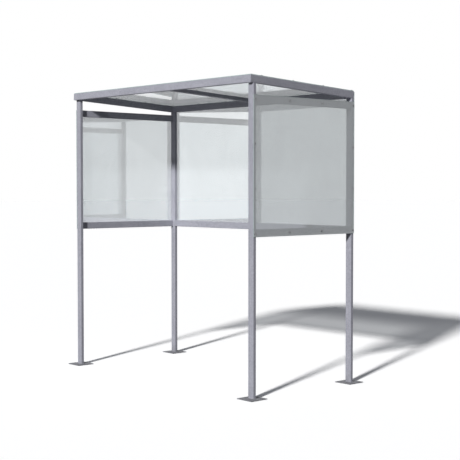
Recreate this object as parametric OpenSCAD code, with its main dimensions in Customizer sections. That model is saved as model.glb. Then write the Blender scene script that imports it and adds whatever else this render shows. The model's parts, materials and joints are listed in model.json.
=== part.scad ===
// Open-fronted smoking shelter: a frame of rectangular tube on four base plates,
// clear sheets on three sides and a clear roof that falls to the back.
// Millimetres, +Z up, origin on the floor at the centre of the four base plates.
// +X is to the right along the open front, +Y runs from the front to the back.

/* [Overall] */
// Width over the outer faces of the posts
width = 2000; // [1200:10:3000]
// Depth over the outer faces of the posts
depth = 965; // [700:5:1600]
// Height of the roof frame's front top edge above the floor, without the sheet
height = 2100; // [1950:5:2600]
// Fall of the roof towards the back, in degrees
roof_pitch = 3; // [0:0.5:4]

/* [Tube] */
// Wide side of the rectangular tube
tube_w = 50; // [40:1:60]
// Narrow side of the rectangular tube
tube_t = 25; // [20:1:30]
// Wall of the tube
tube_wall = 2; // [1.5:0.5:3]
// Outer corner radius of the tube
tube_corner_r = 3.5; // [3.25:0.25:5]
// Plate that closes each open tube end
tube_end_t = 2; // [1:0.5:4]

/* [Base plates] */
// Side of the square base plate
plate_size = 140; // [120:5:200]
// Thickness of the base plate
plate_t = 6; // [4:1:12]
// Distance between the anchor holes, both ways
anchor_spacing = 100; // [90:5:115]
// Radius of an anchor hole
anchor_hole_r = 6; // [4:0.5:8]

/* [Rails] */
// Height of the bottom rails' underside above the floor
bottom_rail_z = 1055; // [600:5:1300]
// Gap between the side sheets' top edge and the roof frame where the frame is lowest
side_vent = 24; // [10:1:300]

/* [Sheets] */
// Thickness of the side and back sheets
panel_t = 4; // [3:0.5:8]
// Thickness of the roof sheet
roof_sheet_t = 4; // [3:0.5:8]
// How far the roof sheet stays inside the frame's outline
roof_sheet_inset = 2; // [0:0.5:10]
// How far the back sheet's top edge stays below the top of the roof frame
back_panel_drop = 6; // [2:1:30]
// Gap between a sheet and the steel that it is screwed to
sheet_gap = 0.3; // [0.1:0.1:1]

/* [Hidden] */
$fn = 48;
half_w = width / 2;
half_d = depth / 2;
post_x = half_w - tube_w / 2;
post_y = half_d - tube_t / 2;
// The roof frame is drawn flat, with its front lower edge at its own origin, and then tilted.
roof_front_y = -half_d - tube_t;
roof_front_z = height - tube_w * cos(roof_pitch);
roof_length = (depth + tube_t - tube_w * sin(roof_pitch)) / cos(roof_pitch);
roof_back_z = roof_front_z - roof_length * sin(roof_pitch);
roof_back_top_z = roof_back_z + tube_w * cos(roof_pitch);
panel_top_z = roof_back_z - side_vent;
top_rail_z = panel_top_z - tube_w;
back_panel_top_z = roof_back_top_z - back_panel_drop;
bore_r = tube_corner_r - tube_wall;
// Larger than the whole shelter, for cuts
beyond = 2 * (width + depth + height);

steel = "#a9abb6";
dark_steel = "#8f919c";
clear_sheet = [0.86, 0.91, 0.93, 0.45];

// Rectangle with round corners, centred, a along X and b along Y
module rounded_rect(a, b, r) {
    square([a - 2 * r, b], center = true);
    square([a, b - 2 * r], center = true);
    for (sx = [-1, 1], sy = [-1, 1])
        translate([sx * (a / 2 - r), sy * (b / 2 - r)])
            circle(r = r);
}

// Outline of the tube's outside, its wide side along X
module tube_outline() {
    rounded_rect(tube_w, tube_t, tube_corner_r);
}

// Outline of the tube's bore
module bore_outline() {
    rounded_rect(tube_w - 2 * tube_wall, tube_t - 2 * tube_wall, bore_r);
}

// Tube of the given length up Z, open at both ends
module tube(length) {
    linear_extrude(height = length)
        difference() {
            tube_outline();
            bore_outline();
        }
}

// Tube of the given length up Z with a plate across each end
module closed_tube(length) {
    difference() {
        linear_extrude(height = length)
            tube_outline();
        translate([0, 0, tube_end_t])
            linear_extrude(height = length - 2 * tube_end_t)
                bore_outline();
    }
}

// Lays a tube along +X, its wide side upright and its underside at Z = 0
module along_x() {
    translate([0, 0, tube_w / 2])
        rotate([0, 90, 0])
            children();
}

// Lays a tube along +Y, its wide side upright and its underside at Z = 0
module along_y() {
    translate([0, 0, tube_w / 2])
        rotate([-90, 0, 0])
            rotate([0, 0, 90])
                children();
}

// Moves children drawn flat in the roof frame's own axes to their tilted place
module on_roof() {
    translate([0, roof_front_y, roof_front_z])
        rotate([-roof_pitch, 0, 0])
            children();
}

// All the space further than drop below the underside of the roof frame
module below_roof(drop) {
    on_roof()
        translate([-beyond / 2, -beyond / 2, -beyond - drop])
            cube([beyond, beyond, beyond]);
}

// Upright from its base plate to the roof frame, cut to the roof's fall and closed at the top
module post(sx, sy) {
    color(steel)
        difference() {
            intersection() {
                translate([sx * post_x, sy * post_y, plate_t])
                    linear_extrude(height = height)
                        tube_outline();
                below_roof(0);
            }
            intersection() {
                translate([sx * post_x, sy * post_y, plate_t - 1])
                    linear_extrude(height = height)
                        bore_outline();
                below_roof(tube_end_t);
            }
        }
}

// Square base plate with four anchor holes
module base_plate(sx, sy) {
    color(dark_steel)
        translate([sx * post_x, sy * post_y, 0])
            difference() {
                translate([-plate_size / 2, -plate_size / 2, 0])
                    cube([plate_size, plate_size, plate_t]);
                for (hx = [-1, 1], hy = [-1, 1])
                    translate([hx * anchor_spacing / 2, hy * anchor_spacing / 2, -1])
                        cylinder(r = anchor_hole_r, h = plate_t + 2);
            }
}

// Front or back roof beam between the two side beams, its front face at the given place
module roof_cross_beam(face_y) {
    color(steel)
        on_roof()
            translate([-half_w + tube_t, face_y + tube_t / 2, 0])
                along_x()
                    tube(width - 2 * tube_t);
}

// Side beam, the full length of the roof and closed at both ends
module roof_side_beam(sx) {
    color(steel)
        on_roof()
            translate([sx * (half_w - tube_t / 2), 0, 0])
                along_y()
                    closed_tube(roof_length);
}

// Rafter at mid width, between the front and back beams
module roof_middle_rafter() {
    color(dark_steel)
        on_roof()
            translate([0, tube_t, tube_w - tube_t / 2])
                rotate([-90, 0, 0])
                    tube(roof_length - 2 * tube_t);
}

// Clear sheet on top of the roof frame
module roof_sheet() {
    color(clear_sheet)
        on_roof()
            translate([-half_w + roof_sheet_inset, roof_sheet_inset, tube_w + sheet_gap])
                cube([width - 2 * roof_sheet_inset, roof_length - 2 * roof_sheet_inset, roof_sheet_t]);
}

// Side rail between a front post and a back post, flush with their outer faces
module side_rail(sx, z) {
    color(steel)
        translate([sx * (half_w - tube_t / 2), -half_d + tube_t, z])
            along_y()
                tube(depth - 2 * tube_t);
}

// Rail between the two back posts
module back_bottom_rail() {
    color(steel)
        translate([-half_w + tube_w, post_y, bottom_rail_z])
            along_x()
                tube(width - 2 * tube_w);
}

// Clear sheet on the outside of one side
module side_panel(sx) {
    color(clear_sheet)
        translate([sx * (half_w + sheet_gap + panel_t / 2) - panel_t / 2, -half_d, bottom_rail_z])
            cube([panel_t, depth, panel_top_z - bottom_rail_z]);
}

// Clear sheet on the outside of the back, up to the roof frame
module back_panel() {
    color(clear_sheet)
        translate([-half_w, half_d + sheet_gap, bottom_rail_z])
            cube([width, panel_t, back_panel_top_z - bottom_rail_z]);
}

post(-1, -1);  // post_front_left
post(1, -1);  // post_front_right
post(-1, 1);  // post_back_left
post(1, 1);  // post_back_right
base_plate(-1, -1);  // plate_front_left
base_plate(1, -1);  // plate_front_right
base_plate(-1, 1);  // plate_back_left
base_plate(1, 1);  // plate_back_right
roof_cross_beam(0);  // roof_front_beam
roof_cross_beam(roof_length - tube_t);  // roof_back_beam
roof_side_beam(-1);  // roof_left_beam
roof_side_beam(1);  // roof_right_beam
roof_middle_rafter();
roof_sheet();
side_rail(-1, top_rail_z);  // left_top_rail
side_rail(-1, bottom_rail_z);  // left_bottom_rail
side_rail(1, top_rail_z);  // right_top_rail
side_rail(1, bottom_rail_z);  // right_bottom_rail
back_bottom_rail();
side_panel(-1);  // left_panel
back_panel();
side_panel(1);  // right_panel
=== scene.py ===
"""A smoking shelter: an open galvanised steel frame with clear sheets on its sides, back and roof."""

import json
import logging
import math
from dataclasses import dataclass
from enum import Enum
from typing import Any, Optional

import bmesh
import bpy
from mathutils import Euler, Matrix, Vector

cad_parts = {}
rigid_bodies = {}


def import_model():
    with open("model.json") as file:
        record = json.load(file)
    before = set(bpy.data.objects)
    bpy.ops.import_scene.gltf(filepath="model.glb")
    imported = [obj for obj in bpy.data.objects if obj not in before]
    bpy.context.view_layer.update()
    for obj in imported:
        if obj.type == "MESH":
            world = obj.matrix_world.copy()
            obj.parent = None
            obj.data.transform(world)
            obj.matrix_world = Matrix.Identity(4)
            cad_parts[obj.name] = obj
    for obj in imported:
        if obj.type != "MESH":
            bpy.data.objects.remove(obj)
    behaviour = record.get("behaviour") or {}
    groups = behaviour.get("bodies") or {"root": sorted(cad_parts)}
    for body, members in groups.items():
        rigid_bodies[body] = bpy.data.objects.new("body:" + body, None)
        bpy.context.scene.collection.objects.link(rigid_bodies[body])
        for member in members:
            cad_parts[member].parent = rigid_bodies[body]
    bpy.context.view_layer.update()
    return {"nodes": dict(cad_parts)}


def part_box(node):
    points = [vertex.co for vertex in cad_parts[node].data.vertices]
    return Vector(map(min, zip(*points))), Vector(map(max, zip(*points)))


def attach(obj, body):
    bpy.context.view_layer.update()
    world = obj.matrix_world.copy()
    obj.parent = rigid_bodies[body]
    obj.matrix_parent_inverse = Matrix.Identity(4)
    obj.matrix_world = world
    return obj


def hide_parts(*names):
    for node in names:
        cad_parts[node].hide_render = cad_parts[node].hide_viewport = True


LOG = logging.getLogger("smoking_shelter")
BODY = "root"
ROOF_PITCH = math.radians(3.0)
FULL_TURN = 2.0 * math.pi
# Direction in plan, towards the back right, in which the studio is less bright in a shine
LESS_BRIGHT_SIDE = (0.743, 0.669)
Colour = tuple[float, float, float]


class Axis(Enum):
    """A direction of the shelter: across its width, along its depth, or up."""

    WIDTH = 0
    DEPTH = 1
    HEIGHT = 2

    def stretch(self, across: float, along: float) -> tuple[float, float, float]:
        """Gives pattern scales that run along this direction.

        Args:
            across: Pattern scale on the two other directions.
            along: Pattern scale on this direction.

        Returns:
            The scale for x, y and z.
        """
        scales = [across] * 3
        scales[self.value] = along
        return tuple(scales)


class Signal:
    """One output socket that takes part in arithmetic, each operation adding its Math node."""

    def __init__(self, wiring: "Wiring", socket: bpy.types.NodeSocket) -> None:
        """Wraps a socket.

        Args:
            wiring: The tree the socket belongs to.
            socket: The output socket.
        """
        self.wiring = wiring
        self.socket = socket

    def _math(self, operation: str, first: Any, second: Any) -> "Signal":
        """Adds one Math node on two values and returns its result."""
        return self.wiring.signal(
            "ShaderNodeMath", settings={"operation": operation}, sockets={0: first, 1: second}
        )

    def __add__(self, other: Any) -> "Signal":
        """Adds a value or a signal."""
        return self._math("ADD", self, other)

    __radd__ = __add__

    def __sub__(self, other: Any) -> "Signal":
        """Takes a value or a signal away."""
        return self._math("SUBTRACT", self, other)

    def __rsub__(self, other: Any) -> "Signal":
        """Takes this signal away from a value."""
        return self._math("SUBTRACT", other, self)

    def __mul__(self, other: Any) -> "Signal":
        """Multiplies by a value or a signal."""
        return self._math("MULTIPLY", self, other)

    __rmul__ = __mul__

    def __rtruediv__(self, other: Any) -> "Signal":
        """Divides a value by this signal."""
        return self._math("DIVIDE", other, self)

    def __pow__(self, other: Any) -> "Signal":
        """Raises this signal to a power."""
        return self._math("POWER", self, other)

    def larger(self, other: Any) -> "Signal":
        """Gives the larger of this signal and another."""
        return self._math("MAXIMUM", self, other)

    def step(self, start: float, end: float) -> "Signal":
        """Gives a smooth rise from 0 at start to 1 at end.

        Args:
            start: Value of this signal where the rise begins.
            end: Value of this signal where the rise is complete.

        Returns:
            The rise, always between 0 and 1.
        """
        return self.wiring.signal(
            "ShaderNodeMapRange",
            settings={"interpolation_type": "SMOOTHSTEP"},
            sockets={0: self, 1: start, 2: end},
        )


class Wiring:
    """A node tree, with one method that adds any node to it."""

    def __init__(self, tree: bpy.types.NodeTree) -> None:
        """Takes the tree that the nodes are added to."""
        self.tree = tree

    def node(
        self,
        kind: str,
        settings: Optional[dict[str, Any]] = None,
        sockets: Optional[dict[Any, Any]] = None,
    ) -> bpy.types.Node:
        """Adds a node.

        Args:
            kind: The node's type.
            settings: Its properties, set before its sockets.
            sockets: Values or signals for its inputs, by name or place.

        Returns:
            The new node.
        """
        made = self.tree.nodes.new(kind)
        for name, value in (settings or {}).items():
            setattr(made, name, value)
        for key, value in (sockets or {}).items():
            if isinstance(value, Signal):
                self.tree.links.new(value.socket, made.inputs[key])
            else:
                made.inputs[key].default_value = value
        return made

    def signal(
        self,
        kind: str,
        output: Any = 0,
        settings: Optional[dict[str, Any]] = None,
        sockets: Optional[dict[Any, Any]] = None,
    ) -> Signal:
        """Adds a node and gives one of its outputs.

        Args:
            kind: The node's type.
            output: Name or place of the output.
            settings: The node's properties.
            sockets: Values or signals for its inputs.

        Returns:
            The output as a signal.
        """
        return Signal(self, self.node(kind, settings, sockets).outputs[output])

    def noise(self, place: Signal, scale: float, detail: float = 3.0) -> Signal:
        """Gives soft noise between 0 and 1 at a place.

        Args:
            place: Coordinates that the noise is read at.
            scale: How fine the noise is.
            detail: How many finer layers it has.

        Returns:
            The noise.
        """
        return self.signal(
            "ShaderNodeTexNoise", sockets={"Vector": place, "Scale": scale, "Detail": detail}
        )

    def stretched(self, place: Signal, scales: tuple[float, float, float]) -> Signal:
        """Stretches coordinates by a scale on each direction."""
        return self.signal("ShaderNodeMapping", sockets={"Vector": place, "Scale": scales})

    def blend(self, factor: Any, low: Any, high: Any) -> Signal:
        """Mixes two colours.

        Args:
            factor: 0 gives low and 1 gives high.
            low: A colour or a signal.
            high: A colour or a signal.

        Returns:
            The mixed colour.
        """
        low, high = (c if isinstance(c, Signal) else (*c, 1.0) for c in (low, high))
        return self.signal(
            "ShaderNodeMix",
            output=2,
            settings={"data_type": "RGBA"},
            sockets={0: factor, 6: low, 7: high},
        )

    def bump(self, height: Signal, distance: float, strength: float) -> Signal:
        """Turns a height into a normal.

        Args:
            height: The relief, between 0 and 1.
            distance: Depth of the relief in metres.
            strength: How much of it shows.

        Returns:
            The normal.
        """
        return self.signal(
            "ShaderNodeBump",
            sockets={"Height": height, "Distance": distance, "Strength": strength},
        )


def start_material(name: str) -> tuple[bpy.types.Material, Wiring, Signal]:
    """Starts an empty node material.

    Args:
        name: The material's name.

    Returns:
        The material, its wiring, and the object coordinates.
    """
    material = bpy.data.materials.new(name)
    material.use_nodes = True
    material.node_tree.nodes.clear()
    wiring = Wiring(material.node_tree)
    place = wiring.signal("ShaderNodeTexCoord", "Object")
    return material, wiring, place


def end_material(wiring: Wiring, surface: Signal) -> None:
    """Links the finished surface to the material's output."""
    wiring.node("ShaderNodeOutputMaterial", sockets={"Surface": surface})


@dataclass(frozen=True)
class GalvanisedSteel:
    """Hot-dip galvanised tube or plate: matt zinc with faint crystals, drawn streaks and dull patches."""

    name: str
    along: Axis
    dull: Colour = (0.32, 0.325, 0.385)
    bright: Colour = (0.57, 0.575, 0.65)
    stain: Colour = (0.26, 0.26, 0.28)
    crystal_scale: float = 110.0
    stained_height: float = 0.10

    def build(self) -> bpy.types.Material:
        """Builds the zinc: crystals and streaks in its colour, and the same in its sheen and relief."""
        material, wiring, place = start_material(self.name)
        streaks = wiring.noise(wiring.stretched(place, self.along.stretch(170.0, 5.0)), 1.0, 4.0)
        patches = wiring.noise(place, 9.0, 5.0)
        grain = wiring.noise(place, 900.0, 2.0)
        mottle = wiring.noise(place, 95.0, 3.0)
        crystals = wiring.signal(
            "ShaderNodeSeparateColor",
            sockets={
                0: wiring.signal(
                    "ShaderNodeTexVoronoi", 1, sockets={"Vector": place, "Scale": self.crystal_scale}
                )
            },
        )
        shade = streaks * 0.6 + patches * 0.4 + crystals * 0.2 + mottle * 0.9 - 0.55
        height = wiring.signal("ShaderNodeSeparateXYZ", 2, sockets={0: place})
        foot = (1.0 - height.step(0.0, self.stained_height)) * patches.step(0.35, 0.65)
        zinc = wiring.blend(shade, self.dull, self.bright)
        colour = wiring.blend(foot * 0.55, zinc, self.stain)
        sheen = 0.66 - 0.16 * crystals - 0.12 * patches + 0.1 * foot
        relief = grain * 0.4 + patches * 0.35 + streaks * 0.25
        surface = wiring.signal(
            "ShaderNodeBsdfPrincipled",
            sockets={
                "Base Color": colour,
                "Roughness": sheen,
                "Specular IOR Level": 0.06,
                "Normal": wiring.bump(relief, 0.0006, 0.35),
            },
        )
        end_material(wiring, surface)
        return material


@dataclass(frozen=True)
class ZincPlatedScrew:
    """Bright zinc-plated screw heads, a little scuffed on their edges."""

    name: str = "zinc_plated_screw"
    dark: Colour = (0.23, 0.235, 0.25)
    light: Colour = (0.36, 0.365, 0.38)

    def build(self) -> bpy.types.Material:
        """Builds the plating with fine scuffs."""
        material, wiring, place = start_material(self.name)
        scuffs = wiring.noise(place, 700.0, 4.0)
        cloud = wiring.noise(place, 120.0, 2.0)
        surface = wiring.signal(
            "ShaderNodeBsdfPrincipled",
            sockets={
                "Base Color": wiring.blend(cloud * 0.5 + scuffs * 0.5, self.dark, self.light),
                "Metallic": 0.55,
                "Roughness": 0.30 + 0.25 * scuffs,
                "Normal": wiring.bump(scuffs, 0.0002, 0.3),
            },
        )
        end_material(wiring, surface)
        return material


@dataclass(frozen=True)
class SealingRubber:
    """Dark rubber of the sealing washers."""

    name: str = "sealing_rubber"
    dark: Colour = (0.045, 0.046, 0.05)
    dusty: Colour = (0.11, 0.11, 0.115)

    def build(self) -> bpy.types.Material:
        """Builds the rubber with a little dust."""
        material, wiring, place = start_material(self.name)
        dust = wiring.noise(place, 260.0, 4.0)
        surface = wiring.signal(
            "ShaderNodeBsdfPrincipled",
            sockets={
                "Base Color": wiring.blend(dust.step(0.4, 0.75), self.dark, self.dusty),
                "Roughness": 0.7 + 0.2 * dust,
                "Normal": wiring.bump(dust, 0.0002, 0.4),
            },
        )
        end_material(wiring, surface)
        return material


@dataclass(frozen=True)
class ClearSheet:
    """A clear plastic sheet: see-through and mirror-like, with a thin haze and dust at its foot."""

    name: str
    outline: tuple[Vector, Vector]
    tint: Colour = (0.985, 0.995, 1.0)
    haze_tint: Colour = (0.93, 0.965, 1.0)
    haze: float = 0.14
    mirror: float = 0.355
    slant_gain: float = 0.10
    shade: float = 0.0
    dusty_edge: float = 0.035

    def build(self) -> bpy.types.Material:
        """Builds the clear body, its haze and its shine."""
        material, wiring, place = start_material(self.name)
        haze = self.haze + self._smears(wiring, place) + self._edge_dust(wiring, place)
        if self.shade:
            haze = haze + wiring.signal("ShaderNodeLightPath", "Is Shadow Ray") * self.shade
        clear = wiring.signal("ShaderNodeBsdfTransparent", sockets={0: (*self.tint, 1.0)})
        film = wiring.signal(
            "ShaderNodeBsdfPrincipled",
            sockets={
                "Base Color": (*self.haze_tint, 1.0),
                "Roughness": 0.7,
                "Specular IOR Level": 0.0,
            },
        )
        shine = wiring.signal(
            "ShaderNodeBsdfPrincipled",
            sockets={
                "Base Color": (0.93, 0.96, 0.97, 1.0),
                "Metallic": 1.0,
                "Roughness": 0.02,
            },
        )
        body = wiring.signal("ShaderNodeMixShader", sockets={0: haze, 1: clear, 2: film})
        slant = wiring.signal("ShaderNodeLayerWeight", 1, sockets={"Blend": 0.5})
        reflected = self.mirror + (1.0 - self.mirror) * self.slant_gain * slant**5.0
        end_material(
            wiring, wiring.signal("ShaderNodeMixShader", sockets={0: reflected, 1: body, 2: shine})
        )
        return material

    def _smears(self, wiring: Wiring, place: Signal) -> Signal:
        """Gives faint clouds and wiped streaks in the haze."""
        clouds = wiring.noise(place, 3.2, 4.0)
        wiped = wiring.noise(wiring.stretched(place, (14.0, 14.0, 2.2)), 1.0, 3.0)
        return (clouds - 0.5) * 0.08 + (wiped - 0.5) * 0.03

    def _edge_dust(self, wiring: Wiring, place: Signal) -> Signal:
        """Gives a band of dust along the sheet's lowest edge."""
        low, high = self.outline
        height = wiring.signal("ShaderNodeSeparateXYZ", 2, sockets={0: place})
        band = 1.0 - height.step(low.z, min(low.z + self.dusty_edge, high.z))
        return band * wiring.noise(place, 40.0, 4.0) * 0.22


@dataclass(frozen=True)
class SawnSheetEdge:
    """The sawn edge of a clear sheet, where the light gathers in a pale mint line."""

    name: str
    pale: Colour = (0.60, 0.74, 0.71)
    deep: Colour = (0.33, 0.47, 0.46)

    def build(self) -> bpy.types.Material:
        """Builds the edge with saw marks across it."""
        material, wiring, place = start_material(self.name)
        marks = wiring.noise(wiring.stretched(place, (420.0, 420.0, 420.0)), 1.0, 2.0)
        clouds = wiring.noise(place, 18.0, 3.0)
        edge = wiring.signal(
            "ShaderNodeBsdfPrincipled",
            sockets={
                "Base Color": wiring.blend(clouds * 0.6 + marks * 0.4, self.deep, self.pale),
                "Roughness": 0.35 + 0.3 * marks,
                "Normal": wiring.bump(marks, 0.0002, 0.35),
            },
        )
        clear = wiring.signal("ShaderNodeBsdfTransparent", sockets={0: (0.80, 0.92, 0.90, 1.0)})
        solid = 0.72 + 0.2 * clouds
        end_material(
            wiring, wiring.signal("ShaderNodeMixShader", sockets={0: solid, 1: clear, 2: edge})
        )
        return material


@dataclass(frozen=True)
class PaleFloor:
    """A plain pale floor that shows white, and lights the object like a mid-pale one."""

    name: str = "pale_floor"
    lit: float = 0.22
    shown: float = 2.055
    shine_far: float = 0.76

    def build(self) -> bpy.types.Material:
        """Builds the floor, its shown brightness apart from the light that it gives back."""
        material, wiring, place = start_material(self.name)
        direct, shine = sight_masks(wiring)
        far = back_right(wiring, place, 5.0)
        in_shine = wiring.blend(far, (self.shown,) * 3, (self.shine_far,) * 3)
        tone = wiring.blend(direct, (self.lit,) * 3, (self.shown,) * 3)
        tone = wiring.blend(shine, tone, in_shine)
        end_material(wiring, wiring.signal("ShaderNodeBsdfDiffuse", sockets={"Color": tone}))
        return material


def sight_masks(wiring: Wiring) -> tuple[Signal, Signal]:
    """Tells how a place is seen.

    Args:
        wiring: The tree that asks.

    Returns:
        A signal that is 1 where it is seen directly or through a sheet, and one for a shine.
    """
    path = wiring.node("ShaderNodeLightPath")
    camera, glossy, through, softened = (
        Signal(wiring, path.outputs[name])
        for name in ("Is Camera Ray", "Is Glossy Ray", "Is Transmission Ray", "Diffuse Depth")
    )
    unsoftened = 1.0 - softened.step(0.0, 1.0)
    return camera.larger(through), glossy * unsoftened


def back_right(wiring: Wiring, place: Signal, reach: float) -> Signal:
    """Tells how far a place lies to the back right of the shelter, where the studio is less bright.

    Args:
        wiring: The tree that asks.
        place: A place on the floor, or a direction in the sky.
        reach: The distance at which the signal is complete.

    Returns:
        0 beside and before the shelter, up to 1 at the back right.
    """
    across, depth = (
        wiring.signal("ShaderNodeSeparateXYZ", i, sockets={0: place}) for i in (0, 1)
    )
    to_x, to_y = LESS_BRIGHT_SIDE
    along = across * to_x + depth * to_y
    sideways = depth * to_x - across * to_y
    return (along - sideways.larger(sideways * -1.0) * 0.8).step(0.0, reach)


def add_object(name: str, mesh: bpy.types.Mesh) -> bpy.types.Object:
    """Puts a mesh in the scene under a name, at the origin."""
    made = bpy.data.objects.new(name, mesh)
    bpy.context.scene.collection.objects.link(made)
    return made


def applied(piece: bpy.types.Object) -> bpy.types.Object:
    """Turns a piece and its Geometry Nodes into one plain mesh.

    Args:
        piece: The object that carries the modifier.

    Returns:
        The same object, with the finished mesh and no modifier.
    """
    bpy.context.view_layer.update()
    graph = bpy.context.evaluated_depsgraph_get()
    finished = bpy.data.meshes.new_from_object(piece.evaluated_get(graph))
    piece.modifiers.clear()
    raw, piece.data = piece.data, finished
    bpy.data.meshes.remove(raw)
    finished.name = piece.name
    return piece


class NodesTool:
    """A Geometry Nodes tree with named inputs, and a way to run it on a mesh."""

    def __init__(self, name: str, inputs: dict[str, tuple[str, Any]]) -> None:
        """Starts the tree.

        Args:
            name: The tree's name.
            inputs: For each named input, its socket type and its usual value.
        """
        self.tree = bpy.data.node_groups.new(name, "GeometryNodeTree")
        panel = self.tree.interface
        panel.new_socket("Geometry", in_out="INPUT", socket_type="NodeSocketGeometry")
        panel.new_socket("Geometry", in_out="OUTPUT", socket_type="NodeSocketGeometry")
        self.ids: dict[str, str] = {}
        for label, (kind, value) in inputs.items():
            made = panel.new_socket(label, in_out="INPUT", socket_type=kind)
            if value is not None:
                made.default_value = value
            self.ids[label] = made.identifier
        self.wiring = Wiring(self.tree)
        self.entry = self.wiring.node("NodeGroupInput")

    def given(self, label: str) -> Signal:
        """Gives one of the tree's named inputs."""
        return Signal(self.wiring, self.entry.outputs[label])

    def end(self, geometry: Signal) -> None:
        """Links the finished geometry to the tree's output."""
        self.wiring.node("NodeGroupOutput", sockets={"Geometry": geometry})

    def run(self, piece: bpy.types.Object, values: dict[str, Any]) -> bpy.types.Object:
        """Runs the tree on a piece and keeps the result as a plain mesh.

        Args:
            piece: The object with the guide points or lines.
            values: Values for the named inputs.

        Returns:
            The finished piece.
        """
        modifier = piece.modifiers.new(self.tree.name, "NODES")
        modifier.node_group = self.tree
        for label, value in values.items():
            modifier[self.ids[label]] = value
        return applied(piece)


class ScrewTool(NodesTool):
    """Puts a hexagon screw with a flange and a sealing washer on every guide point."""

    def __init__(self) -> None:
        """Builds the tree: rubber ring, flange, hexagon and its low crown."""
        super().__init__(
            "sheet_screws",
            {
                "Turn": ("NodeSocketRotation", None),
                "Washer radius": ("NodeSocketFloat", 0.0075),
                "Washer height": ("NodeSocketFloat", 0.0014),
                "Head radius": ("NodeSocketFloat", 0.0043),
                "Head height": ("NodeSocketFloat", 0.0026),
                "Metal": ("NodeSocketMaterial", None),
                "Rubber": ("NodeSocketMaterial", None),
                "Seed": ("NodeSocketInt", 7),
            },
        )
        wiring = self.wiring
        washer_h = self.given("Washer height")
        washer_r = self.given("Washer radius")
        head_r = self.given("Head radius")
        head_h = self.given("Head height")
        ring = self._disc(28, washer_r * 0.94, washer_r * 0.88, washer_h * 0.0, washer_h)
        ring = wiring.signal(
            "GeometryNodeStoreNamedAttribute",
            settings={"data_type": "BOOLEAN", "domain": "FACE"},
            sockets={"Geometry": ring, "Name": "rubber", "Value": True},
        )
        flange = self._disc(28, washer_r, washer_r * 0.86, washer_h * 0.7, washer_h)
        hexagon = self._disc(6, head_r, head_r, washer_h * 1.6, head_h * 0.8)
        crown = self._disc(18, head_r * 0.84, head_r * 0.5, washer_h * 1.6 + head_h * 0.8, head_h * 0.2)
        screw = self._joined([ring, flange, hexagon, crown])
        spin = wiring.signal(
            "FunctionNodeRandomValue",
            output=1,
            settings={"data_type": "FLOAT"},
            sockets={2: 0.0, 3: math.pi / 3.0, "Seed": self.given("Seed")},
        )
        spun = wiring.signal(
            "FunctionNodeRotateRotation",
            settings={"rotation_space": "LOCAL"},
            sockets={
                0: self.given("Turn"),
                1: wiring.signal(
                    "FunctionNodeAxisAngleToRotation", sockets={0: (0.0, 0.0, 1.0), 1: spin}
                ),
            },
        )
        placed = wiring.signal(
            "GeometryNodeInstanceOnPoints",
            sockets={
                "Points": self.given("Geometry"),
                "Instance": screw,
                "Rotation": spun,
            },
        )
        solid = wiring.signal("GeometryNodeRealizeInstances", sockets={0: placed})
        metal = wiring.signal(
            "GeometryNodeSetMaterial", sockets={"Geometry": solid, "Material": self.given("Metal")}
        )
        is_rubber = wiring.signal(
            "GeometryNodeInputNamedAttribute",
            settings={"data_type": "BOOLEAN"},
            sockets={"Name": "rubber"},
        )
        self.end(
            wiring.signal(
                "GeometryNodeSetMaterial",
                sockets={
                    "Geometry": metal,
                    "Selection": is_rubber,
                    "Material": self.given("Rubber"),
                },
            )
        )

    def _disc(self, sides: int, low_r: Signal, top_r: Signal, base: Signal, height: Signal) -> Signal:
        """Makes one turned step of the screw.

        Args:
            sides: Number of sides round it.
            low_r: Radius at its foot.
            top_r: Radius at its top.
            base: Height of its foot.
            height: Its own height.

        Returns:
            The step's mesh.
        """
        cone = self.wiring.signal(
            "GeometryNodeMeshCone",
            sockets={
                "Vertices": sides,
                "Radius Top": top_r,
                "Radius Bottom": low_r,
                "Depth": height,
            },
        )
        lift = self.wiring.signal("ShaderNodeCombineXYZ", sockets={2: base})
        return self.wiring.signal(
            "GeometryNodeTransform", sockets={"Geometry": cone, "Translation": lift}
        )

    def _joined(self, parts: list[Signal]) -> Signal:
        """Joins the steps of the screw."""
        join = self.wiring.node("GeometryNodeJoinGeometry")
        for part in parts:
            self.wiring.tree.links.new(part.socket, join.inputs[0])
        return Signal(self.wiring, join.outputs[0])


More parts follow.
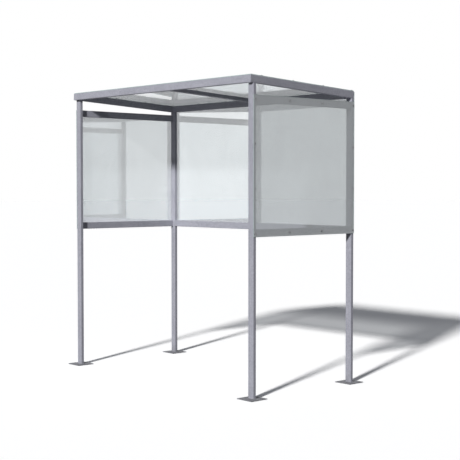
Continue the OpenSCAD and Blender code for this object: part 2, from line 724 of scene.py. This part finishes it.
class BeadTool(NodesTool):
    """Lays a rippled weld bead along every guide line."""

    def __init__(self) -> None:
        """Builds the tree: lines cut into short steps, each ripple a little thicker or thinner."""
        super().__init__(
            "weld_beads",
            {
                "Bead radius": ("NodeSocketFloat", 0.0022),
                "Ripple length": ("NodeSocketFloat", 0.0045),
                "Ripple": ("NodeSocketFloat", 0.12),
                "Sides": ("NodeSocketInt", 8),
                "Metal": ("NodeSocketMaterial", None),
                "Seed": ("NodeSocketInt", 3),
            },
        )
        wiring = self.wiring
        ripple_length = self.given("Ripple length")
        lines = wiring.signal("GeometryNodeMeshToCurve", sockets={"Mesh": self.given("Geometry")})
        steps = wiring.signal(
            "GeometryNodeResampleCurve",
            settings={"mode": "LENGTH"},
            sockets={"Curve": lines, "Length": ripple_length * 0.3},
        )
        travelled = wiring.signal("GeometryNodeSplineParameter", "Length")
        wave = wiring.signal(
            "ShaderNodeMath",
            settings={"operation": "SINE"},
            sockets={0: travelled * (FULL_TURN / ripple_length)},
        )
        uneven = wiring.signal(
            "FunctionNodeRandomValue",
            output=1,
            settings={"data_type": "FLOAT"},
            sockets={2: -0.5, 3: 0.5, "Seed": self.given("Seed")},
        )
        thickness = 1.0 + self.given("Ripple") * wave + self.given("Ripple") * uneven
        ring = wiring.signal(
            "GeometryNodeCurvePrimitiveCircle",
            sockets={"Resolution": self.given("Sides"), "Radius": self.given("Bead radius")},
        )
        thick = wiring.signal(
            "GeometryNodeSetCurveRadius", sockets={"Curve": steps, "Radius": thickness}
        )
        bead = wiring.signal(
            "GeometryNodeCurveToMesh",
            sockets={"Curve": thick, "Profile Curve": ring, "Fill Caps": True},
        )
        solid = wiring.signal("GeometryNodeRealizeInstances", sockets={0: bead})
        self.end(
            wiring.signal(
                "GeometryNodeSetMaterial",
                sockets={"Geometry": solid, "Material": self.given("Metal")},
            )
        )


@dataclass
class Steelwork:
    """The welded frame: posts on their plates, the roof frame and the rails."""

    bead_radius: float = 0.0020
    tube_corner: float = 0.0035

    def dress(self, nodes: dict[str, bpy.types.Object]) -> None:
        """Gives every steel piece of the frame its galvanised finish.

        Args:
            nodes: The frame's pieces by name.
        """
        runs = {
            Axis.HEIGHT: GalvanisedSteel("galvanised_upright", Axis.HEIGHT).build(),
            Axis.WIDTH: GalvanisedSteel("galvanised_crosswise", Axis.WIDTH).build(),
            Axis.DEPTH: GalvanisedSteel("galvanised_lengthwise", Axis.DEPTH).build(),
        }
        plate = GalvanisedSteel(
            "galvanised_plate",
            Axis.WIDTH,
            dull=(0.27, 0.275, 0.30),
            bright=(0.42, 0.425, 0.46),
            crystal_scale=70.0,
        ).build()
        for name, piece in sorted(nodes.items()):
            if name.endswith(("_panel", "_sheet")):
                continue
            finish = plate if name.startswith("plate_") else runs[self._run_of(name)]
            piece.data.materials.clear()
            piece.data.materials.append(finish)
            LOG.info("%s dressed in %s", name, finish.name)

    def _run_of(self, name: str) -> Axis:
        """Gives the direction that a tube runs in, which is its box's longest side."""
        low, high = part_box(name)
        size = high - low
        return Axis(max(range(3), key=lambda i: size[i]))

    def weld(self, tool: BeadTool) -> None:
        """Lays the weld beads at the feet, the rails and the roof frame.

        Args:
            tool: The bead tool.
        """
        finish = GalvanisedSteel(
            "galvanised_weld",
            Axis.HEIGHT,
            dull=(0.31, 0.315, 0.35),
            bright=(0.50, 0.505, 0.55),
            crystal_scale=260.0,
        ).build()
        groups = {
            "weld_beads_feet": self._foot_lines(),
            "weld_beads_rails": self._rail_lines(),
            "weld_beads_roof": self._roof_lines(),
        }
        for name, lines in groups.items():
            piece = add_object(name, self._guide_mesh(name, lines))
            tool.run(piece, {"Bead radius": self.bead_radius, "Metal": finish})
            for face in piece.data.polygons:
                face.use_smooth = True
            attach(piece, BODY)
            LOG.info("%s laid on %d joints", name, len(lines))

    def _guide_mesh(self, name: str, lines: list[list[Vector]]) -> bpy.types.Mesh:
        """Makes one mesh of edges from open or closed lines."""
        points: list[Vector] = []
        edges: list[tuple[int, int]] = []
        for line in lines:
            start = len(points)
            closed = (line[0] - line[-1]).length < 1e-6
            kept = line[:-1] if closed else line
            points.extend(kept)
            edges.extend((start + i, start + i + 1) for i in range(len(kept) - 1))
            if closed:
                edges.append((start + len(kept) - 1, start))
        mesh = bpy.data.meshes.new(name)
        mesh.from_pydata(points, edges, [])
        return mesh

    def _foot_lines(self) -> list[list[Vector]]:
        """Gives the line round each post where it stands on its plate."""
        lines = []
        for side in ("front_left", "front_right", "back_left", "back_right"):
            low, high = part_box(f"post_{side}")
            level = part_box(f"plate_{side}")[1].z
            lines.append(self._round_loop(low, high, level))
        return lines

    def _round_loop(self, low: Vector, high: Vector, level: float) -> list[Vector]:
        """Gives a closed loop round an upright tube, with its round corners.

        Args:
            low: The tube's lowest corner.
            high: The tube's highest corner.
            level: Height of the loop.

        Returns:
            The loop, its first point repeated at its end.
        """
        corner = self.tube_corner
        centres = (
            (high.x - corner, high.y - corner, 0.0),
            (low.x + corner, high.y - corner, 90.0),
            (low.x + corner, low.y + corner, 180.0),
            (high.x - corner, low.y + corner, 270.0),
        )
        points = []
        for x, y, first in centres:
            for part in range(4):
                turn = math.radians(first + 30.0 * part)
                points.append(
                    Vector((x + corner * math.cos(turn), y + corner * math.sin(turn), level))
                )
        return [*points, points[0]]

    def _rail_lines(self) -> list[list[Vector]]:
        """Gives the line over, down and under each end of each rail, on the sides that show."""
        lines = []
        inset = self.bead_radius + 0.001
        for name in ("left_top_rail", "left_bottom_rail", "right_top_rail", "right_bottom_rail"):
            low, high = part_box(name)
            outer, inner = (low.x, high.x) if name.startswith("left") else (high.x, low.x)
            start = outer + math.copysign(inset, inner - outer)
            for y in (low.y, high.y):
                lines.append(
                    [
                        Vector((start, y, high.z)),
                        Vector((inner, y, high.z)),
                        Vector((inner, y, low.z)),
                        Vector((start, y, low.z)),
                    ]
                )
        low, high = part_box("back_bottom_rail")
        for x in (low.x, high.x):
            lines.append(
                [
                    Vector((x, high.y - inset, high.z)),
                    Vector((x, low.y, high.z)),
                    Vector((x, low.y, low.z)),
                    Vector((x, high.y - inset, low.z)),
                ]
            )
        return lines

    def _roof_lines(self) -> list[list[Vector]]:
        """Gives the inner upright and underside lines at the roof frame's joints."""
        lines = []
        front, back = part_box("roof_front_beam"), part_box("roof_back_beam")
        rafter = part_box("roof_middle_rafter")
        inset = self.bead_radius + 0.001
        slope = math.tan(ROOF_PITCH)
        for x in (front[0].x, front[1].x):
            lines.append(self._corner_line(x, front[1].y - inset, front, inset))
            lines.append(self._corner_line(x, back[0].y + inset, back, inset))
        for x in (rafter[0].x, rafter[1].x):
            for y, beam in ((front[1].y, front), (back[0].y, back)):
                drop = (y - front[0].y) * slope
                top = front[1].z - drop - inset
                low = rafter[0].z + (rafter[1].y - y) * slope + inset
                lines.append([Vector((x, y, top)), Vector((x, y, low))])
        return lines

    def _corner_line(
        self, x: float, y: float, beam: tuple[Vector, Vector], inset: float
    ) -> list[Vector]:
        """Gives the upright line where a cross beam meets a side beam.

        Args:
            x: Place of the joint across the width.
            y: Place of the beam's inner face.
            beam: The beam's lowest and highest corners.
            inset: How far the line stops from the tube's edges.

        Returns:
            The line from its top to its foot.
        """
        return [Vector((x, y, beam[1].z - 2.0 * inset)), Vector((x, y, beam[0].z + inset))]


@dataclass
class ClearCladding:
    """One clear sheet with eased edges, and the screws that hold it to the steel."""

    node: str
    slot: str
    normal: Axis
    outward: float
    screw_rows: list[tuple[float, float, int, float, float]]
    pitch: float = 0.0
    thickness: float = 0.004
    shade: float = 0.0
    ease: float = 0.0007

    def build(self, tool: ScrewTool, metal: bpy.types.Material, rubber: bpy.types.Material) -> None:
        """Builds the sheet and its screws and puts them on the frame.

        Args:
            tool: The screw tool.
            metal: Finish of the screws.
            rubber: Finish of their sealing rings.
        """
        sheet = self._sheet()
        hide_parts(self.node)
        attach(sheet, BODY)
        LOG.info("%s made", sheet.name)
        screws = self._screws(tool, metal, rubber)
        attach(screws, BODY)
        LOG.info("%s made, %d faces", screws.name, len(screws.data.polygons))

    def _tilt(self) -> Matrix:
        """Gives the sheet's own turn: the roof's falls to the back."""
        return Matrix.Rotation(-self.pitch, 4, "X")

    def _flat_size(self) -> tuple[Vector, Vector]:
        """Gives the sheet's middle and its three sizes before it is tilted."""
        low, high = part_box(self.node)
        size = high - low
        if self.pitch:
            length = (size.y - self.thickness * math.sin(self.pitch)) / math.cos(self.pitch)
            size = Vector((size.x, length, self.thickness))
        return (low + high) / 2.0, size

    def _sheet(self) -> bpy.types.Object:
        """Makes the sheet with eased long edges, its sawn edges in their own finish."""
        middle, size = self._flat_size()
        form = bmesh.new()
        bmesh.ops.create_cube(form, size=1.0, matrix=Matrix.Diagonal((*size, 1.0)))
        bmesh.ops.bevel(
            form, geom=form.edges[:], offset=self.ease, segments=2, profile=0.5, affect="EDGES"
        )
        form.normal_update()
        for face in form.faces:
            face.material_index = 0 if abs(face.normal[self.normal.value]) > 0.999 else 1
        form.transform(Matrix.Translation(middle) @ self._tilt())
        bmesh.ops.recalc_face_normals(form, faces=form.faces[:])
        mesh = bpy.data.meshes.new(f"clear_{self.node}")
        form.to_mesh(mesh)
        form.free()
        clear = ClearSheet(f"clear_sheet_{self.node}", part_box(self.node), shade=self.shade)
        mesh.materials.append(clear.build())
        mesh.materials.append(SawnSheetEdge(f"sawn_edge_{self.node}").build())
        return add_object(f"clear_{self.node}", mesh)

    def _screws(
        self, tool: ScrewTool, metal: bpy.types.Material, rubber: bpy.types.Material
    ) -> bpy.types.Object:
        """Makes all the screws of the sheet as one piece."""
        name = f"screws_{self.node}"
        mesh = bpy.data.meshes.new(name)
        mesh.from_pydata(self._screw_points(), [], [])
        turn = {
            Axis.WIDTH: Euler((0.0, self.outward * math.pi / 2.0, 0.0)),
            Axis.DEPTH: Euler((-self.outward * math.pi / 2.0, 0.0, 0.0)),
            Axis.HEIGHT: Euler((-self.pitch, 0.0, 0.0)),
        }[self.normal]
        piece = add_object(name, mesh)
        return tool.run(piece, {"Turn": turn, "Metal": metal, "Rubber": rubber})

    def _screw_points(self) -> list[Vector]:
        """Gives the place of each screw on the sheet's outer face, once each."""
        low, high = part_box(self.node)
        face = high[self.normal.value] if self.outward > 0 else low[self.normal.value]
        found: dict[tuple[float, float], Vector] = {}
        for first_a, first_b, count, last_a, last_b in self.screw_rows:
            for index in range(count):
                part = index / (count - 1)
                a = first_a + (last_a - first_a) * part
                b = first_b + (last_b - first_b) * part
                found[(round(a, 4), round(b, 4))] = self._on_face(a, b, face, low)
        return list(found.values())

    def _on_face(self, a: float, b: float, face: float, low: Vector) -> Vector:
        """Gives a point of the outer face from its two places along it."""
        if self.normal is Axis.WIDTH:
            return Vector((face, a, b))
        if self.normal is Axis.DEPTH:
            return Vector((a, face, b))
        return Vector((a, b, face - (b - low.y) * math.tan(self.pitch)))


def side_cladding(node: str, outward: float, post_y: float, top_z: float, low_z: float) -> ClearCladding:
    """Plans one side sheet: four screws along each of its edges.

    Args:
        node: The sheet's node.
        outward: +1 or -1, the side of the shelter it is on.
        post_y: Place of the post's middle along the depth.
        top_z: Height of the upper row of screws.
        low_z: Height of the lower row.

    Returns:
        The planned sheet.
    """
    rows = [
        (-post_y, low_z, 4, post_y, low_z),
        (-post_y, top_z, 4, post_y, top_z),
        (-post_y, low_z, 4, -post_y, top_z),
        (post_y, low_z, 4, post_y, top_z),
    ]
    return ClearCladding(node, "panel_sheet", Axis.WIDTH, outward, rows)


@dataclass
class Cladding:
    """All the clear sheets of the shelter."""

    roof_first_screw: float = 0.105

    def build(self, tool: ScrewTool) -> None:
        """Builds the sheets one after another.

        Args:
            tool: The screw tool.
        """
        metal, rubber = ZincPlatedScrew().build(), SealingRubber().build()
        for sheet in self._plan():
            sheet.build(tool, metal, rubber)

    def _middle(self, node: str) -> Vector:
        """Gives the middle of a node's box."""
        low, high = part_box(node)
        return (low + high) / 2.0

    def _plan(self) -> list[ClearCladding]:
        """Plans the side sheets, the back sheet and the roof sheet."""
        post_y = self._middle("post_back_left").y
        post_x = self._middle("post_back_right").x
        top = self._middle("left_top_rail").z
        low = self._middle("left_bottom_rail").z
        back_top = self._middle("roof_back_beam").z
        back_rows = [
            (-post_x, low, 7, post_x, low),
            (-post_x, back_top, 7, post_x, back_top),
            (-post_x, low, 4, -post_x, back_top),
            (post_x, low, 4, post_x, back_top),
        ]
        beam_x = self._middle("roof_right_beam").x
        back_y = self._middle("roof_back_beam").y
        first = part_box("roof_sheet")[0].y + self.roof_first_screw
        roof_rows = [(x, first, 4, x, back_y) for x in (-beam_x, 0.0, beam_x)]
        roof_rows.append((-beam_x, back_y, 7, beam_x, back_y))
        return [
            side_cladding("left_panel", -1.0, post_y, top, low),
            side_cladding("right_panel", 1.0, post_y, top, low),
            ClearCladding("back_panel", "panel_sheet", Axis.DEPTH, 1.0, back_rows),
            ClearCladding(
                "roof_sheet", "roof_sheet", Axis.HEIGHT, 1.0, roof_rows, pitch=ROOF_PITCH, shade=0.36
            ),
        ]


@dataclass
class Studio:
    """The plain pale floor, the sun, the soft sky and the camera."""

    eye: Vector
    heading: float
    tilt: float
    lens: float
    sun_heading: tuple[float, float] = (-0.39, 0.92)
    sun_height: float = 26.0
    sun_strength: float = 2.9
    sun_spread: float = 4.6
    sky: float = 0.035
    sky_behind: float = 0.18
    floor_reach: float = 90.0
    shine_low: float = 0.37

    def build(self) -> None:
        """Builds the whole studio."""
        self._floor()
        self._sun()
        self._world()
        self._camera()
        view = bpy.context.scene.view_settings
        view.view_transform = "Standard"
        LOG.info("studio made")

    def _floor(self) -> None:
        """Makes the floor that the shelter stands on."""
        form = bmesh.new()
        bmesh.ops.create_grid(form, x_segments=8, y_segments=8, size=self.floor_reach)
        mesh = bpy.data.meshes.new("floor")
        form.to_mesh(mesh)
        form.free()
        mesh.materials.append(PaleFloor().build())
        add_object("floor", mesh)

    def _sun(self) -> None:
        """Hangs the sun, low and to the front right."""
        lamp = bpy.data.lights.new("sun", "SUN")
        lamp.energy = self.sun_strength
        lamp.angle = math.radians(self.sun_spread)
        lamp.color = (1.0, 0.995, 0.985)
        height = math.radians(self.sun_height)
        across, along = (part * math.cos(height) for part in self.sun_heading)
        made = bpy.data.objects.new("sun", lamp)
        made.rotation_euler = (
            Vector((across, along, -math.sin(height))).to_track_quat("-Z", "Y").to_euler()
        )
        bpy.context.scene.collection.objects.link(made)

    def _world(self) -> None:
        """Makes the sky: white where it is seen, and faint where it lights the shelter."""
        world = bpy.data.worlds.new("studio_sky")
        bpy.context.scene.world = world
        world.use_nodes = True
        world.node_tree.nodes.clear()
        wiring = Wiring(world.node_tree)
        place = wiring.signal("ShaderNodeTexCoord", "Generated")
        across, depth = (
            wiring.signal("ShaderNodeSeparateXYZ", i, sockets={0: place}) for i in (0, 1)
        )
        behind = (depth - across).step(-0.3, 1.2)
        front, back = self.sky, self.sky_behind
        soft = wiring.blend(
            behind, (front, front * 1.05, front * 1.2), (back, back * 1.03, back * 1.1)
        )
        direct, shine = sight_masks(wiring)
        far = back_right(wiring, place, 0.9)
        in_shine = wiring.blend(far, (1.0, 1.0, 1.0), (self.shine_low,) * 3)
        tone = wiring.blend(direct, soft, (1.0, 1.0, 1.0))
        tone = wiring.blend(shine, tone, in_shine)
        light = wiring.signal("ShaderNodeBackground", sockets={"Color": tone, "Strength": 1.0})
        wiring.node("ShaderNodeOutputWorld", sockets={"Surface": light})

    def _camera(self) -> None:
        """Sets up the camera."""
        data = bpy.data.cameras.new("camera")
        data.lens = self.lens
        data.clip_end = 400.0
        made = bpy.data.objects.new("camera", data)
        made.location = self.eye
        made.rotation_euler = (math.radians(90.0 + self.tilt), 0.0, math.radians(self.heading))
        bpy.context.scene.collection.objects.link(made)
        bpy.context.scene.camera = made


def clear_start_scene() -> None:
    """Removes whatever the scene starts with."""
    for thing in list(bpy.data.objects):
        bpy.data.objects.remove(thing)


def main() -> None:
    """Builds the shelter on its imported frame, piece by piece, and the studio round it."""
    logging.basicConfig(level=logging.INFO, format="%(message)s")
    clear_start_scene()
    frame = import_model()
    steelwork = Steelwork()
    steelwork.dress(frame["nodes"])
    steelwork.weld(BeadTool())
    Cladding().build(ScrewTool())
    Studio(eye=Vector((6.2166, -5.3879, 1.3746)), heading=47.965, tilt=-2.174, lens=87.07).build()


if __name__ == "__main__":
    main()
